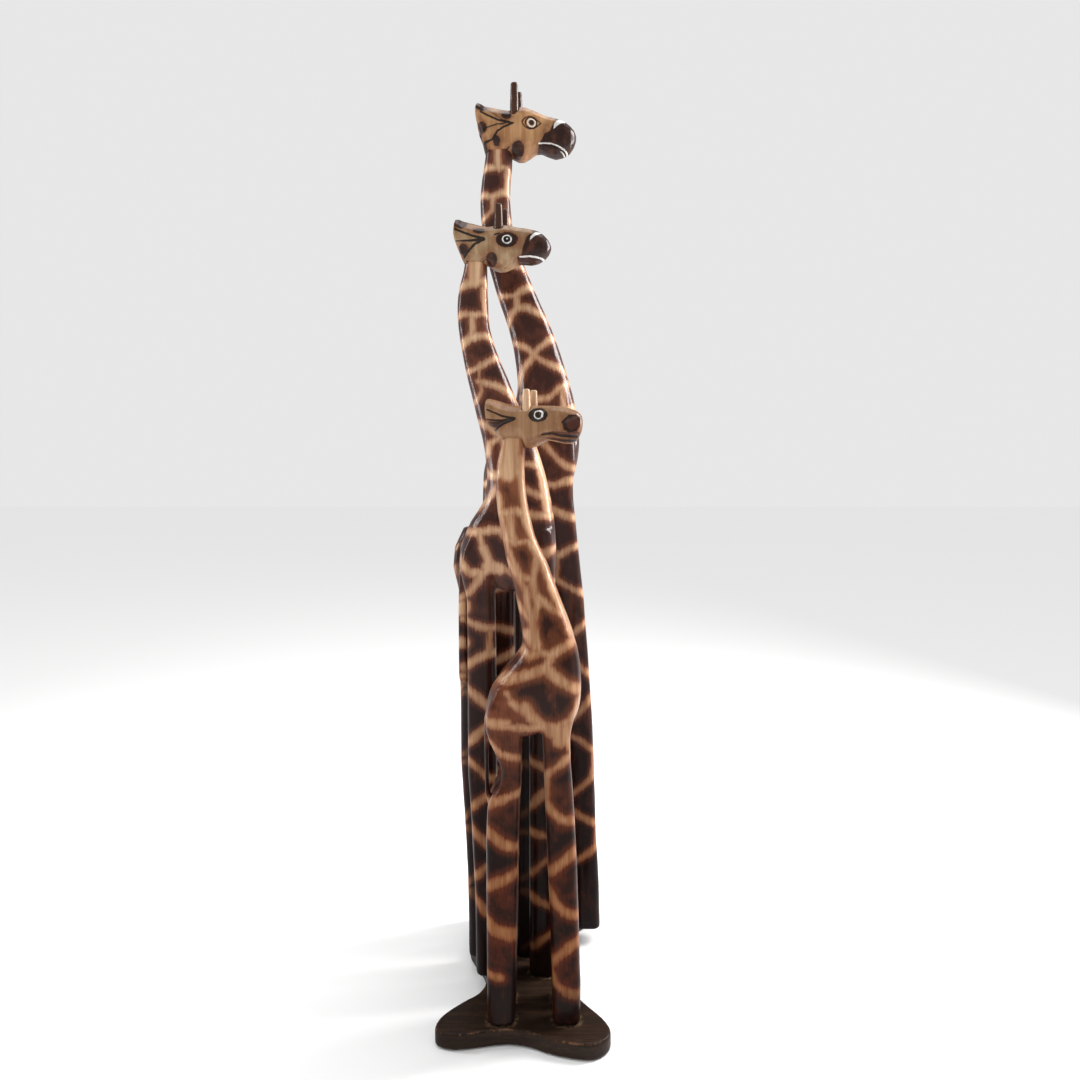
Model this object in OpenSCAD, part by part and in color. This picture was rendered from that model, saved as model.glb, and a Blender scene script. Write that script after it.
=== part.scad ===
// Family of three carved giraffes, one behind another, standing on one three-lobed base.
// Each giraffe is sawn and carved from an upright plank, with a glued-on head block,
// two dowel horns and a screw up through the base into every foot.
// Millimetres, +Z up, the giraffes face +X. The origin is under the middle of the base.

/* [Base] */
// Thickness of the base board
base_t = 18; // [12:0.5:30]
// Width of the worn bevel around the base's edges
base_bevel = 1.5; // [0.5:0.1:3]

/* [Heights above the base] */
// Tall giraffe, to the tips of its horns
tall_h = 979; // [900:1:1080]
// Middle giraffe, to the tips of its horns
medium_h = 823; // [760:1:900]
// Small giraffe, to the tips of its horns
small_h = 632; // [580:1:690]

/* [Planks] */
// Thickness of the tall giraffe's plank
tall_plank = 66; // [60:1:74]
// Thickness of the middle giraffe's plank
medium_plank = 62; // [56:1:70]
// Thickness of the small giraffe's plank
small_plank = 58; // [52:1:64]
// Gap sawn between the near legs and the far legs
leg_gap = 10; // [6:1:14]
// Rounding of the legs' carved corners
leg_round = 9; // [5:0.5:10]

/* [Horns] */
// Diameter of the tall giraffe's horns at their roots
horn_d = 9.6; // [8:0.2:11]
// Distance between the tall giraffe's two horns
horn_spacing = 26; // [22:1:28]
// Depth of each horn in its socket
horn_seat = 12; // [8:1:15]

/* [Joinery] */
// Diameter of the dowel inside each neck
dowel_d = 8; // [6:0.5:9]
// Length of the dowel inside each neck
dowel_l = 44; // [30:1:50]
// Diameter of the screws that hold the feet
screw_d = 4; // [3:0.5:5]
// Length of the screws that hold the feet
screw_l = 45; // [38:1:60]

/* [Hidden] */
glue_gap = 0.05;
screw_head_d = 2 * screw_d;
screw_head_h = 0.6 * screw_d;
screw_inset = 5;
groove_r = 1.3;
groove_lap = 0.4;
corner_steps = 3;
trunk_steps = 2;
wood_tan = [0.80, 0.58, 0.34];
head_tan = [0.82, 0.66, 0.42];
burnt = [0.22, 0.12, 0.08];
base_brown = [0.20, 0.11, 0.07];
steel = [0.62, 0.62, 0.60];
beech = [0.86, 0.74, 0.55];

// Where each plank's middle stands, across the row of giraffes
tall_y = 96;
medium_y = 2;
small_y = -80;

// The heights the carving is laid out for; a taller or shorter giraffe is stretched from these
tall_layout_h = 979;
medium_layout_h = 823;
small_layout_h = 632;

// Outline of the base, seen from above: two lobes in front, a waist, and a broad rear lobe
base_outline = [
  [-90, -106], [-85, -116], [-72, -120], [-56, -119], [-36, -115], [-15, -112.5], [6, -117],
  [28, -127], [50, -133], [68, -134], [81, -127], [87, -115], [84, -101], [75, -86],
  [61, -67], [51, -44], [47, -14], [48, 18], [53, 46], [60, 70], [65, 88], [73, 98],
  [82, 110], [81, 124], [68, 132], [40, 134], [5, 134], [-30, 131], [-56, 120], [-69, 92],
  [-68, 57], [-65, 32], [-56, 11], [-47, -8], [-43, -34], [-50, -54], [-66, -69], [-83, -88]
];
// The flat top and underside are drawn as two fans, one on each side of the waist
waist_right = 17;
waist_left = 32;
front_hub = [0, -70];
rear_hub = [0, 60];
outline_steps = 3;

// Trunk sections from the neck's top down to the belly: [height, rear, front, half thickness]
tall_trunk = [
  [905, -45, -14.5, 13.5], [880, -49.5, -16.5, 14.5], [855, -52, -17.5, 15], [828, -50.5, -15, 16],
  [800, -46.5, -8, 17], [773, -39.7, 3, 18], [744, -31, 15.5, 19.5], [713, -20, 29.5, 21],
  [685, -13.5, 39.5, 23], [657, -10.5, 48.5, 25.5], [637, -11.5, 54.5, 27.5], [618, -18, 58.5, 29.5],
  [600, -29, 61, 31], [582, -39, 62, 32.5], [564, -46.5, 60, 33], [548, -50, 56.5, 33],
  [536, -50.5, 54, 32], [518, -12, 18, 25]
];
medium_trunk = [
  [764, -61.5, -38.5, 12.5], [744, -67.3, -38, 13.5], [724, -70, -37.6, 14.5], [702, -69.3, -36.2, 15.5],
  [678, -66, -29.5, 16.5], [652, -60.8, -18.5, 18], [628, -55, -9, 20], [602, -48.5, 3, 22],
  [576, -43, 13.5, 24.5], [548, -40.3, 22.5, 27], [528, -41.5, 27, 29], [513, -49, 29.5, 30],
  [500, -57.5, 31.5, 31], [484, -64.5, 33, 31], [466, -69, 33.5, 31], [450, -70.5, 33.5, 30],
  [426, -24, 2, 23]
];
small_trunk = [
  [583, -20, 2.5, 11.5], [570, -24, 1.8, 12], [554, -26.5, 1.3, 12.5], [536, -27, 2.6, 13],
  [515, -25.4, 5.8, 14], [492, -20.6, 11.5, 15], [469, -16.9, 22, 16.5], [445, -10.5, 31, 18.5],
  [421, -5.6, 40, 21], [402, -2.4, 47, 23], [386, -1.2, 51.8, 25], [374, -7.5, 54.5, 26.5],
  [358, -21.5, 56.3, 28], [341, -32.5, 56.8, 29], [325, -37.2, 55.5, 29], [313, -38.5, 52, 28],
  [297, -6, 8, 22]
];

// Leg sections from inside the trunk down to the base: [height, rear, front]
tall_hind_leg = [
  [585, -33, -6], [560, -43, -10], [536, -49.5, -13], [500, -50.5, -14.5], [440, -50, -14],
  [360, -49, -13], [260, -48, -13], [150, -46.5, -13], [0, -45, -14]
];
tall_front_leg = [
  [585, 24, 56], [560, 22, 57], [546, 20, 54], [520, 20, 54.6], [460, 25, 61], [400, 31, 67.5],
  [333, 36.5, 73], [261, 42, 78], [200, 45.5, 80.8], [120, 50, 83.5], [56, 55, 87.6], [0, 58, 89]
];
medium_hind_leg = [
  [492, -56, -30], [470, -66, -31], [448, -68, -31], [418, -61.5, -31], [360, -61.5, -30.5],
  [300, -61.7, -30], [227, -61.7, -30], [170, -58.5, -29], [97, -55.5, -27.5], [0, -54.5, -27]
];
medium_front_leg = [
  [492, 3, 29], [470, 2.5, 31], [440, 2.5, 32.5], [360, 3.5, 33.5], [261, 4, 34], [130, 4, 33.5],
  [0, 4, 34]
];
small_hind_leg = [
  [348, -26, 2], [326, -35.5, 0], [304, -37.5, -1], [292, -34, -1.5], [280, -28.5, -1.8],
  [266, -23, -1.9], [257, -22.3, -1.9], [248, -24.5, -2], [238, -31, -3], [226, -36, -4],
  [192, -37.8, -4.8], [120, -37.8, -6.2], [0, -37.8, -8.5]
];
small_front_leg = [
  [348, 21, 50], [326, 19, 52], [306, 17.8, 47.5], [296, 17.8, 45.8], [272, 19, 46.2], [246, 19.8, 48.3],
  [210, 21.4, 51], [169, 23, 52.8], [110, 25.5, 55], [42, 28, 57.4], [0, 28.4, 57]
];
// The middle giraffe's far legs stand further back than its near ones: [hind, front]
medium_set_back = [11, 16];
no_set_back = [0, 0];

// Tail sections: [height, rear, front, half thickness]
tall_tail = [
  [540, -46, -36, 5], [508, -53, -43, 5.5], [482, -58, -48, 5.5], [440, -58.5, -49.5, 5],
  [374, -58, -49.5, 4.5], [366, -56.5, -51, 3.5]
];
medium_tail = [
  [492, -56, -48, 5], [466, -66.5, -57, 5.5], [441, -71.5, -61, 5.5], [400, -72.6, -63.3, 5],
  [330, -72.6, -63, 4.5], [322, -71.2, -64.5, 3.5]
];
small_tail = [
  [330, -35, -27, 6], [312, -39.5, -31, 6.5], [296, -39.8, -34.5, 6.5], [262, -39.6, -35.4, 6.5],
  [236, -39.4, -34.6, 6.5], [220, -36.5, -31, 6]
];

// Head sections from the ears' rear edges to the nose: [along, underside, top, half width]
// Heights are counted from the joint on top of the neck
tall_head_form = [
  [-55.5, 36, 46, 26], [-53.5, 27, 51.5, 26.5], [-49.5, 17, 51.8, 26], [-46, 2, 51.4, 25.5],
  [-44.5, 0, 51.2, 25], [-36, 0, 49.9, 23], [-27, 0, 48.4, 20.5], [-19, 0, 47.4, 19.5],
  [-14, -3.4, 49.8, 19.5], [-7.5, -6.3, 51.2, 19.8], [-1, -6, 51, 19.6], [5.5, -2.2, 49, 18.6],
  [12, 2, 46.2, 16.6], [18.5, 2.5, 43.6, 15], [25, -0.4, 41.4, 14.6], [34, -3.2, 39.6, 16],
  [43, -1.2, 36.4, 16.2], [50, 2.8, 31.3, 14], [54.5, 9.6, 26.5, 9.5], [56.8, 16, 21, 4]
];
medium_head_form = [
  [-69, 26, 34, 23], [-67.8, 20, 44.5, 24.5], [-65.5, 13, 45.6, 24.5], [-63, 6, 45, 24],
  [-61, 0, 44.6, 23.5], [-54, 0, 42.8, 22], [-45, 0, 40.4, 20], [-37.5, 0, 39, 18.5],
  [-31, -4.8, 39.6, 18], [-24.5, -6.8, 40.5, 18.2], [-18.5, -6, 40, 18], [-12, -3.4, 38.8, 17],
  [-5, 0.3, 37.3, 15.2], [1.5, 0, 36.4, 14.2], [8, -0.8, 35, 14.5], [15, 0.6, 32.8, 14.6],
  [21, 4, 28.9, 12.5], [25.5, 8.6, 24, 9], [28.3, 14, 18.6, 4]
];
small_head_form = [
  [-33.5, 21, 40, 19.5], [-32.5, 16, 41, 20], [-27.5, 10.2, 40.2, 19.5], [-22.5, 5, 38.6, 18.5],
  [-19, 0, 37.4, 17.5], [-13, 0, 35.8, 16.5], [-6, 0, 34.4, 16], [0, 0, 34.2, 16],
  [3.5, -6.3, 34.5, 16], [8, -6.8, 34.7, 15.8], [14, -5.2, 34.6, 15.2], [20, -2, 34.4, 14.2],
  [26, 0.6, 34.2, 13], [34, -1.1, 33.9, 12.6], [41.5, -2.8, 32.6, 12.8], [48, -2.6, 30.8, 12],
  [53, 1.5, 28.4, 9.5], [56.5, 9, 25, 6], [57.6, 15, 21, 3]
];

// Ear grooves: chains of points [along, height], the same on both sides of the head
tall_grooves = [
  [[-15, 29.6], [-31, 32], [-49, 39]],
  [[-24, 28.2], [-46, 21.5]],
  [[-18, 27.5], [-31, 20], [-37, 11], [-48.5, 7]]
];
medium_grooves = [
  [[-38, 24], [-50.5, 26.8], [-66.5, 32.8]],
  [[-47, 22], [-65, 21]],
  [[-42, 21], [-50.6, 14.2], [-58.6, 6.2]]
];
small_grooves = [
  [[-5, 22.2], [-16, 23.8], [-31, 30]],
  [[-15, 20.6], [-32, 20.4]],
  [[-8, 19.8], [-16, 16.6], [-24, 10.5]]
];

// The slot between the two ears, seen from above: its front end along, and its rear end along
tall_ear_slot = [-28, -60];
medium_ear_slot = [-46, -76];
small_ear_slot = [-14, -41];
ear_slot_half_w = 10;

// Horns: [along, length above the joint, root height above the joint, girth compared with horn_d,
// spacing compared with horn_spacing, how much further forward the far horn stands]
tall_horn = [-12.5, 74, 50.5, 1, 1, 4];
medium_horn = [-24.3, 59.5, 40.5, 0.95, 0.77, 2.5];
small_horn = [5, 49.6, 34.5, 0.85, 0.69, 3.5];

// How far each head is turned towards the near side, in degrees
tall_turn = 0;
medium_turn = 9;
small_turn = 11;

// ---------- helpers ----------

function stretch(list, k) = [for (s = list) [s[0] * k, s[1], s[2], s[3]]];

// One closed ring of points: a rectangle with rounded corners, in its own plane
function rounded_ring(u0, u1, v0, v1, round) =
  let (
    r = min(round, 0.48 * (u1 - u0), 0.48 * (v1 - v0)),
    corners = [[u1 - r, v0 + r, -90], [u1 - r, v1 - r, 0], [u0 + r, v1 - r, 90], [u0 + r, v0 + r, 180]]
  )
  [
    for (c = corners)
      for (k = [0:corner_steps])
        let (a = c[2] + k * 90 / corner_steps)
        [c[0] + r * cos(a), c[1] + r * sin(a)]
  ];

// The point at t between q and r, on a smooth curve through p, q, r and s
function curve_point(p, q, r, s, t) =
  0.5 * (2 * q + (r - p) * t + (2 * p - 5 * q + 4 * r - s) * t * t + (3 * q - p - 3 * r + s) * t * t * t);

// Trunk sections with others eased in between them; the last, inside the belly, stays as it is
function eased(list) =
  let (last = len(list) - 2)
  [
    for (i = [0:last - 1])
      for (k = [0:trunk_steps - 1])
        curve_point(list[max(i - 1, 0)], list[i], list[i + 1], list[min(i + 2, last)], k / trunk_steps),
    list[last],
    list[last + 1]
  ];

// A skin over a list of rings that all have the same number of points
module loft(rings) {
  n = len(rings[0]);
  last = len(rings) - 1;
  points = [for (r = rings) each r];
  sides = [
    for (i = [0:last - 1])
      for (j = [0:n - 1])
        each [
          [i * n + j, (i + 1) * n + (j + 1) % n, (i + 1) * n + j],
          [i * n + j, i * n + (j + 1) % n, (i + 1) * n + (j + 1) % n]
        ]
  ];
  first_cap = [for (j = [n - 1:-1:0]) j];
  last_cap = [for (j = [0:n - 1]) last * n + j];
  polyhedron(points, concat(sides, [first_cap, last_cap]), convexity = 6);
}

// A post of level sections [height, rear, front, half thickness], listed from the top down
module post(sections, round_share, middle = 0) {
  loft([
    for (s = sections)
      let (r = round_share * min(s[2] - s[1], 2 * s[3]))
      [for (p = rounded_ring(s[1], s[2], middle - s[3], middle + s[3], r)) [p[0], p[1], s[0]]]
  ]);
}

// One leg: level sections [height, rear, front], listed from the top down
module leg(sections, thick, middle) {
  loft([
    for (s = sections)
      [
        for (p = rounded_ring(s[1], s[2], middle - thick / 2, middle + thick / 2, leg_round))
          [p[0], p[1], s[0]]
      ]
  ]);
}

function moved_back(list, d) = [for (s = list) [s[0], s[1] - d, s[2] - d]];

module four_legs(hind, front, plank, k, set_back) {
  thick = (plank - leg_gap) / 2;
  side = (plank - thick) / 2;
  leg(stretch(hind, k), thick, -side);
  leg(stretch(moved_back(hind, set_back[0]), k), thick, side);
  leg(stretch(front, k), thick, -side);
  leg(stretch(moved_back(front, set_back[1]), k), thick, side);
}

// Where the screws come up: each foot's middle, moved a little towards the belly
function screw_places(hind, front, plank, set_back) =
  let (
    side = (plank + leg_gap) / 4,
    h = hind[len(hind) - 1],
    f = front[len(front) - 1],
    hx = (h[1] + h[2]) / 2 + screw_inset,
    fx = (f[1] + f[2]) / 2 - screw_inset
  )
  [[hx, -side], [hx - set_back[0], side], [fx - set_back[1], side], [fx, -side]];

// The tall giraffe's near front foot hangs past the base's edge, so it has no screw
tall_all_screws = screw_places(tall_hind_leg, tall_front_leg, tall_plank, no_set_back);
tall_screws = [for (i = [0:2]) tall_all_screws[i]];
medium_screws = screw_places(medium_hind_leg, medium_front_leg, medium_plank, medium_set_back);
small_screws = screw_places(small_hind_leg, small_front_leg, small_plank, no_set_back);

function stretch_of(h, layout, joint) = (h - layout + joint) / joint;
tall_k = stretch_of(tall_h, tall_layout_h, tall_trunk[0][0]);
medium_k = stretch_of(medium_h, medium_layout_h, medium_trunk[0][0]);
small_k = stretch_of(small_h, small_layout_h, small_trunk[0][0]);

function neck_x(trunk) = (trunk[0][1] + trunk[0][2]) / 2;

module carved_body(trunk, hind, front, tail, plank, k, set_back, screws) {
  joint_z = trunk[0][0] * k;
  difference() {
    union() {
      post(eased(stretch(trunk, k)), 0.34);
      four_legs(hind, front, plank, k, set_back);
      post(stretch(tail, k), 0.3);
    }
    translate([neck_x(trunk), 0, joint_z - dowel_l / 2])
      cylinder(h = dowel_l, d = dowel_d + 2 * glue_gap, $fn = 48);
    for (f = screws)
      translate([f[0], f[1], -base_t])
        cylinder(h = screw_l + glue_gap, d = screw_d + 2 * glue_gap, $fn = 32);
  }
}

// A straight round-bottomed cut between two points, a little longer at its start
module groove(a, b) {
  d = b - a;
  long = norm(d);
  translate(a)
    rotate([0, acos(d[2] / long), atan2(d[1], d[0])])
      translate([0, 0, -groove_lap])
        cylinder(h = long + groove_lap, r = groove_r, $fn = 24);
}

// Half width of a head at a place along it
function half_width_at(form, x) = lookup(x, [for (s = form) [s[0], s[3]]]);

// Where a horn's axis crosses the head, seen from above; side is -1 for the near horn, 1 for the far one
function horn_place(horn, side) = [
  horn[0] + max(side, 0) * horn[5],
  side * horn[4] * horn_spacing / 2
];

module carved_head(form, grooves, slot, neck, horn, joint_z) {
  root_d = horn_d * horn[3];
  slot_low = form[3][1] + 12;
  slot_high = 80;
  translate([0, 0, joint_z])
    difference() {
      loft([
        for (i = [len(form) - 1:-1:0])
          let (
            s = form[i],
            r = 0.42 * min(2 * s[3], s[2] - s[1])
          )
          [for (p = rounded_ring(-s[3], s[3], s[1], s[2], r)) [s[0], p[0], p[1]]]
      ]);
      translate([0, 0, slot_low])
        linear_extrude(slot_high)
          polygon([[slot[0], 0], [slot[1], -ear_slot_half_w], [slot[1], ear_slot_half_w]]);
      for (g = grooves)
        for (side = [-1, 1])
          for (i = [0:len(g) - 2])
            groove(
              [g[i][0], side * half_width_at(form, g[i][0]), g[i][1]],
              [g[i + 1][0], side * half_width_at(form, g[i + 1][0]), g[i + 1][1]]
            );
      for (side = [-1, 1])
        translate([each horn_place(horn, side), horn[2] - horn_seat])
          cylinder(h = 2 * horn_seat, d = root_d + 2 * glue_gap, $fn = 40);
      translate([neck, 0, -dowel_l / 2])
        cylinder(h = dowel_l, d = dowel_d + 2 * glue_gap, $fn = 48);
    }
}

// A dowel horn: straight in its socket, then slightly tapered, with a softened tip
module dowel_horn(horn, side, joint_z) {
  root_r = horn_d * horn[3] / 2;
  tip_r = 0.86 * root_r;
  soft = 0.25 * root_r;
  seat_z = horn[2] - horn_seat;
  translate([each horn_place(horn, side), joint_z])
    rotate_extrude($fn = 40)
      polygon([
        [0, seat_z], [root_r, seat_z], [root_r, horn[2]], [tip_r, horn[1] - soft],
        [tip_r - soft, horn[1]], [0, horn[1]]
      ]);
}

module foot_screws(screws) {
  for (f = screws)
    translate([f[0], f[1], -base_t])
      rotate_extrude($fn = 32)
        polygon([
          [0, 0], [screw_head_d / 2, 0], [screw_d / 2, screw_head_h],
          [screw_d / 2, screw_l - screw_d], [0, screw_l]
        ]);
}

// Turns a head about its neck, then stands it in the row
module turned(neck, y, turn) {
  translate([neck, y, base_t]) rotate([0, 0, -turn]) translate([-neck, 0, 0]) children();
}

// ---------- base ----------

// A smooth closed curve through the outline's points, with steps points for each
function smooth_outline(list, steps) =
  let (n = len(list))
  [
    for (i = [0:n - 1])
      for (k = [0:steps - 1])
        curve_point(list[(i + n - 1) % n], list[i], list[(i + 1) % n], list[(i + 2) % n], k / steps)
  ];

// The outline moved inwards by d
function inset(list, d) =
  let (n = len(list))
  [
    for (i = [0:n - 1])
      let (
        t = list[(i + 1) % n] - list[(i + n - 1) % n],
        u = t / norm(t)
      )
      list[i] + d * [-u[1], u[0]]
  ];

// Triangles from a hub to every edge of one part of the outline, closed across the waist
function fan(part, first, hub) =
  let (m = len(part))
  [for (j = [0:m - 1]) [hub, first + part[j], first + part[(j + 1) % m]]];

module board_solid() {
  edge = smooth_outline(base_outline, outline_steps);
  worn = inset(edge, base_bevel);
  n = len(edge);
  rings = [
    [for (p = worn) [p[0], p[1], 0]],
    [for (p = edge) [p[0], p[1], base_bevel]],
    [for (p = edge) [p[0], p[1], base_t - base_bevel]],
    [for (p = worn) [p[0], p[1], base_t]]
  ];
  hubs = [
    [front_hub[0], front_hub[1], 0], [rear_hub[0], rear_hub[1], 0],
    [front_hub[0], front_hub[1], base_t], [rear_hub[0], rear_hub[1], base_t]
  ];
  points = concat([for (r = rings) each r], hubs);
  right = waist_right * outline_steps;
  left = waist_left * outline_steps;
  rear_part = [for (j = [right:left]) j];
  front_part = [for (j = [left:right + n]) j % n];
  sides = [
    for (i = [0:2])
      for (j = [0:n - 1])
        each [
          [i * n + j, (i + 1) * n + (j + 1) % n, i * n + (j + 1) % n],
          [i * n + j, (i + 1) * n + j, (i + 1) * n + (j + 1) % n]
        ]
  ];
  under = concat(fan(front_part, 0, 4 * n), fan(rear_part, 0, 4 * n + 1));
  over = concat(fan(front_part, 3 * n, 4 * n + 2), fan(rear_part, 3 * n, 4 * n + 3));
  polyhedron(points, concat(sides, under, [for (f = over) [f[0], f[2], f[1]]]), convexity = 6);
}

module screw_hole(f) {
  translate([f[0], f[1], -1])
    cylinder(h = base_t + 2, d = screw_d + 2 * glue_gap, $fn = 32);
  translate([f[0], f[1], 0])
    cylinder(
      h = screw_head_h, d1 = screw_head_d + 2 * glue_gap, d2 = screw_d + 2 * glue_gap, $fn = 32
    );
}

module base_board() {
  color(base_brown)
    difference() {
      board_solid();
      for (f = tall_screws) screw_hole([f[0], f[1] + tall_y]);
      for (f = medium_screws) screw_hole([f[0], f[1] + medium_y]);
      for (f = small_screws) screw_hole([f[0], f[1] + small_y]);
    }
}

// ---------- tall giraffe ----------

tall_joint = tall_trunk[0][0] * tall_k;
tall_neck = neck_x(tall_trunk);

module tall_body() {
  color(wood_tan)
    translate([0, tall_y, base_t])
      carved_body(
        tall_trunk, tall_hind_leg, tall_front_leg, tall_tail, tall_plank, tall_k, no_set_back,
        tall_screws
      );
}

module tall_head() {
  color(head_tan)
    turned(tall_neck, tall_y, tall_turn)
      carved_head(tall_head_form, tall_grooves, tall_ear_slot, tall_neck, tall_horn, tall_joint);
}

module tall_near_horn() {
  color(burnt) turned(tall_neck, tall_y, tall_turn) dowel_horn(tall_horn, -1, tall_joint);
}

module tall_far_horn() {
  color(burnt) turned(tall_neck, tall_y, tall_turn) dowel_horn(tall_horn, 1, tall_joint);
}

module tall_neck_dowel() {
  color(beech)
    translate([tall_neck, tall_y, base_t + tall_joint - dowel_l / 2])
      cylinder(h = dowel_l, d = dowel_d, $fn = 48);
}

module tall_foot_screws() {
  color(steel) translate([0, tall_y, base_t]) foot_screws(tall_screws);
}

// ---------- middle giraffe ----------

medium_joint = medium_trunk[0][0] * medium_k;
medium_neck = neck_x(medium_trunk);

module medium_body() {
  color(wood_tan)
    translate([0, medium_y, base_t])
      carved_body(
        medium_trunk, medium_hind_leg, medium_front_leg, medium_tail, medium_plank, medium_k,
        medium_set_back, medium_screws
      );
}

module medium_head() {
  color(head_tan)
    turned(medium_neck, medium_y, medium_turn)
      carved_head(
        medium_head_form, medium_grooves, medium_ear_slot, medium_neck, medium_horn, medium_joint
      );
}

module medium_near_horn() {
  color(burnt)
    turned(medium_neck, medium_y, medium_turn) dowel_horn(medium_horn, -1, medium_joint);
}

module medium_far_horn() {
  color(burnt)
    turned(medium_neck, medium_y, medium_turn) dowel_horn(medium_horn, 1, medium_joint);
}

module medium_neck_dowel() {
  color(beech)
    translate([medium_neck, medium_y, base_t + medium_joint - dowel_l / 2])
      cylinder(h = dowel_l, d = dowel_d, $fn = 48);
}

module medium_foot_screws() {
  color(steel) translate([0, medium_y, base_t]) foot_screws(medium_screws);
}

// ---------- small giraffe ----------

small_joint = small_trunk[0][0] * small_k;
small_neck = neck_x(small_trunk);

module small_body() {
  color(wood_tan)
    translate([0, small_y, base_t])
      carved_body(
        small_trunk, small_hind_leg, small_front_leg, small_tail, small_plank, small_k, no_set_back,
        small_screws
      );
}

module small_head() {
  color(head_tan)
    turned(small_neck, small_y, small_turn)
      carved_head(
        small_head_form, small_grooves, small_ear_slot, small_neck, small_horn, small_joint
      );
}

module small_near_horn() {
  color(head_tan) turned(small_neck, small_y, small_turn) dowel_horn(small_horn, -1, small_joint);
}

module small_far_horn() {
  color(head_tan) turned(small_neck, small_y, small_turn) dowel_horn(small_horn, 1, small_joint);
}

module small_neck_dowel() {
  color(beech)
    translate([small_neck, small_y, base_t + small_joint - dowel_l / 2])
      cylinder(h = dowel_l, d = dowel_d, $fn = 48);
}

module small_foot_screws() {
  color(steel) translate([0, small_y, base_t]) foot_screws(small_screws);
}

base_board();
tall_body();
tall_head();
tall_near_horn();
tall_far_horn();
tall_neck_dowel();
tall_foot_screws();
medium_body();
medium_head();
medium_near_horn();
medium_far_horn();
medium_neck_dowel();
medium_foot_screws();
small_body();
small_head();
small_near_horn();
small_far_horn();
small_neck_dowel();
small_foot_screws();
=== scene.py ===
"""Looks of the carved giraffe family: carved, burnt, painted and lacquered wood on a dark base.

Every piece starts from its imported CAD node, is meshed finely and softened by hand-carving marks,
and gets vertex fields (distances in millimetres) that say where the burning and the paint lie.
The materials turn those fields into colour, with grain, wear, roughness and bump of their own.
Lists of points are in millimetres: x along the giraffe, z above the base (bodies) or above the
joint on top of the neck (heads).
"""
import math

import bmesh
import bpy
import numpy as np
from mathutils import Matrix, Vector
from mathutils.bvhtree import BVHTree


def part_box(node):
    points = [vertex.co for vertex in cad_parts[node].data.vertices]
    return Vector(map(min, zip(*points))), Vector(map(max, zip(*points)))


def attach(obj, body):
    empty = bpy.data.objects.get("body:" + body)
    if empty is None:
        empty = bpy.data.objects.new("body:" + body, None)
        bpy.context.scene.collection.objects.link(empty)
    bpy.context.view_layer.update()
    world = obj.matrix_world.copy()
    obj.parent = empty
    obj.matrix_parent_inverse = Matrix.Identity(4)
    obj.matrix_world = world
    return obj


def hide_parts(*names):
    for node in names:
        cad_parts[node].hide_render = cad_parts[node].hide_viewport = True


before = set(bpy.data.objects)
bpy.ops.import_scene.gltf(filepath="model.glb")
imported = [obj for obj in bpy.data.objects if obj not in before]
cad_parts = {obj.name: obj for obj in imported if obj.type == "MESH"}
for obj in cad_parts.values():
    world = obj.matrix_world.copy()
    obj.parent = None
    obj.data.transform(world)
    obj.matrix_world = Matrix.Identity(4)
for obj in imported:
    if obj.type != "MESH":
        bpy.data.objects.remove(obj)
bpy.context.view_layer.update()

MM = 0.001
SEED = 20  # first seed of the lattice noises
BODY_VOXEL = 0.0016
HEAD_VOXEL = 0.0009
HORN_VOXEL = 0.0006
BASE_VOXEL = 0.0015
BODY_CUT = 0.7  # deepest knife facet, mm
HEAD_CUT = 0.5
BASE_CUT = 0.5
HORN_CUT = 0.25
NECK_TUCK = 0.005  # how far the visual neck runs up into the head, m
BASE_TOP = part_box("base_board")[1].z / MM
FAR_SHIFT = 24  # the far side's pattern stands this much lower than the near side's, mm
FAR_OFF = 40.0  # distances beyond this many mm don't matter to any material
PLAIN = 30.0  # burn field of wood with no light line near it, mm


# ---------------------------------------------------------------- the burnt pattern, light lines

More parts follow.
